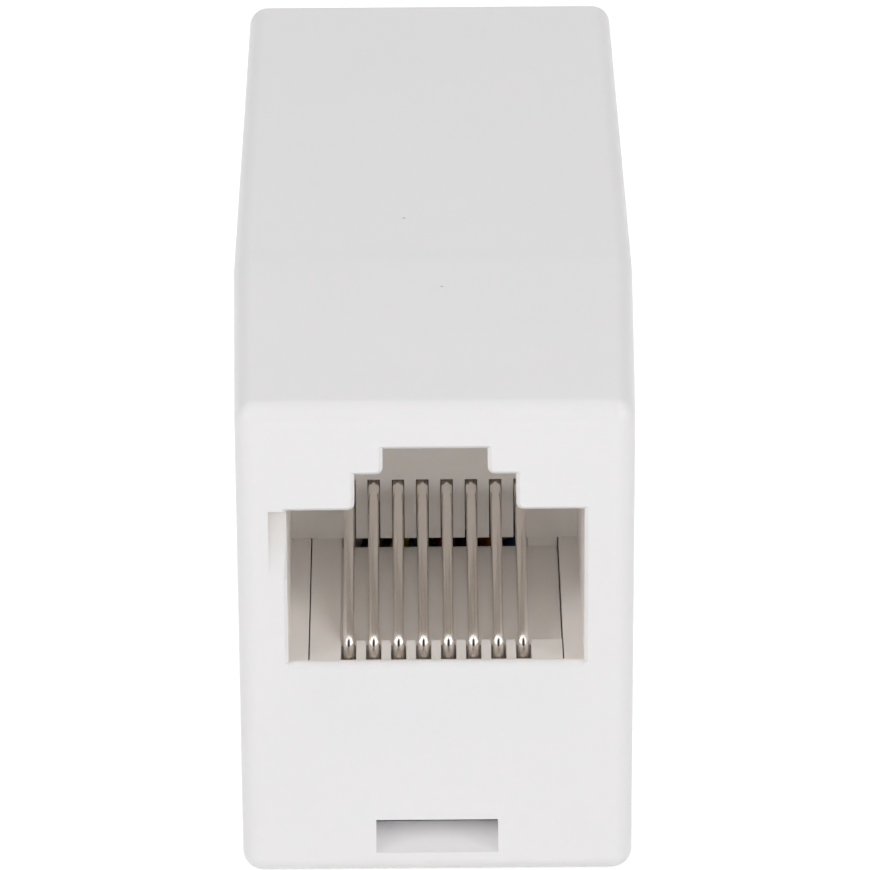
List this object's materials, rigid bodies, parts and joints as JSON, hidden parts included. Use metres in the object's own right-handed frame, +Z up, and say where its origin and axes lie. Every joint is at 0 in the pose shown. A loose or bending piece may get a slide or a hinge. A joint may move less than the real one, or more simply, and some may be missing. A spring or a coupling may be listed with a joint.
{
  "type": "rj45 inline coupler",
  "caption": "Inline network coupler: a white snap-together shell with a modular jack in each end, sprung wire contacts on moulded carriers, and crossing leads inside.",
  "frame": {"origin": "middle of the flat underside", "axes": "+Z up towards the clip notches, -Y out of the front jack, +Y out of the rear jack, +X to the right as seen from the front"},
  "size_m": [0.0166, 0.042, 0.0215],
  "materials": {
    "shell_plastic": "satin white moulding",
    "carrier_plastic": "satin white moulding",
    "contact_wire": "drawn and nickel plated",
    "crimp_tin": "tin plated",
    "jacket_blue": "extruded insulation",
    "jacket_orange": "extruded insulation",
    "jacket_black": "extruded insulation",
    "jacket_red": "extruded insulation",
    "jacket_green": "extruded insulation",
    "jacket_yellow": "extruded insulation",
    "jacket_brown": "extruded insulation",
    "jacket_white": "extruded insulation"
  },
  "bodies": {
    "root": {"front_shell": "shell_plastic", "rear_shell": "shell_plastic", "front_carrier": "carrier_plastic", "rear_carrier": "carrier_plastic", "front_contact_1": "contact_wire", "front_contact_2": "contact_wire", "front_contact_3": "contact_wire", "front_contact_4": "contact_wire", "front_contact_5": "contact_wire", "front_contact_6": "contact_wire", "front_contact_7": "contact_wire", "front_contact_8": "contact_wire", "front_crimp_1": "crimp_tin", "front_crimp_2": "crimp_tin", "front_crimp_3": "crimp_tin", "front_crimp_4": "crimp_tin", "front_crimp_5": "crimp_tin", "front_crimp_6": "crimp_tin", "front_crimp_7": "crimp_tin", "front_crimp_8": "crimp_tin", "rear_contact_1": "contact_wire", "rear_contact_2": "contact_wire", "rear_contact_3": "contact_wire", "rear_contact_4": "contact_wire", "rear_contact_5": "contact_wire", "rear_contact_6": "contact_wire", "rear_contact_7": "contact_wire", "rear_contact_8": "contact_wire", "rear_crimp_1": "crimp_tin", "rear_crimp_2": "crimp_tin", "rear_crimp_3": "crimp_tin", "rear_crimp_4": "crimp_tin", "rear_crimp_5": "crimp_tin", "rear_crimp_6": "crimp_tin", "rear_crimp_7": "crimp_tin", "rear_crimp_8": "crimp_tin", "lead_1_blue": "jacket_blue", "lead_2_orange": "jacket_orange", "lead_3_black": "jacket_black", "lead_4_red": "jacket_red", "lead_5_green": "jacket_green", "lead_6_yellow": "jacket_yellow", "lead_7_brown": "jacket_brown", "lead_8_white": "jacket_white"}
  },
  "joints": []
}
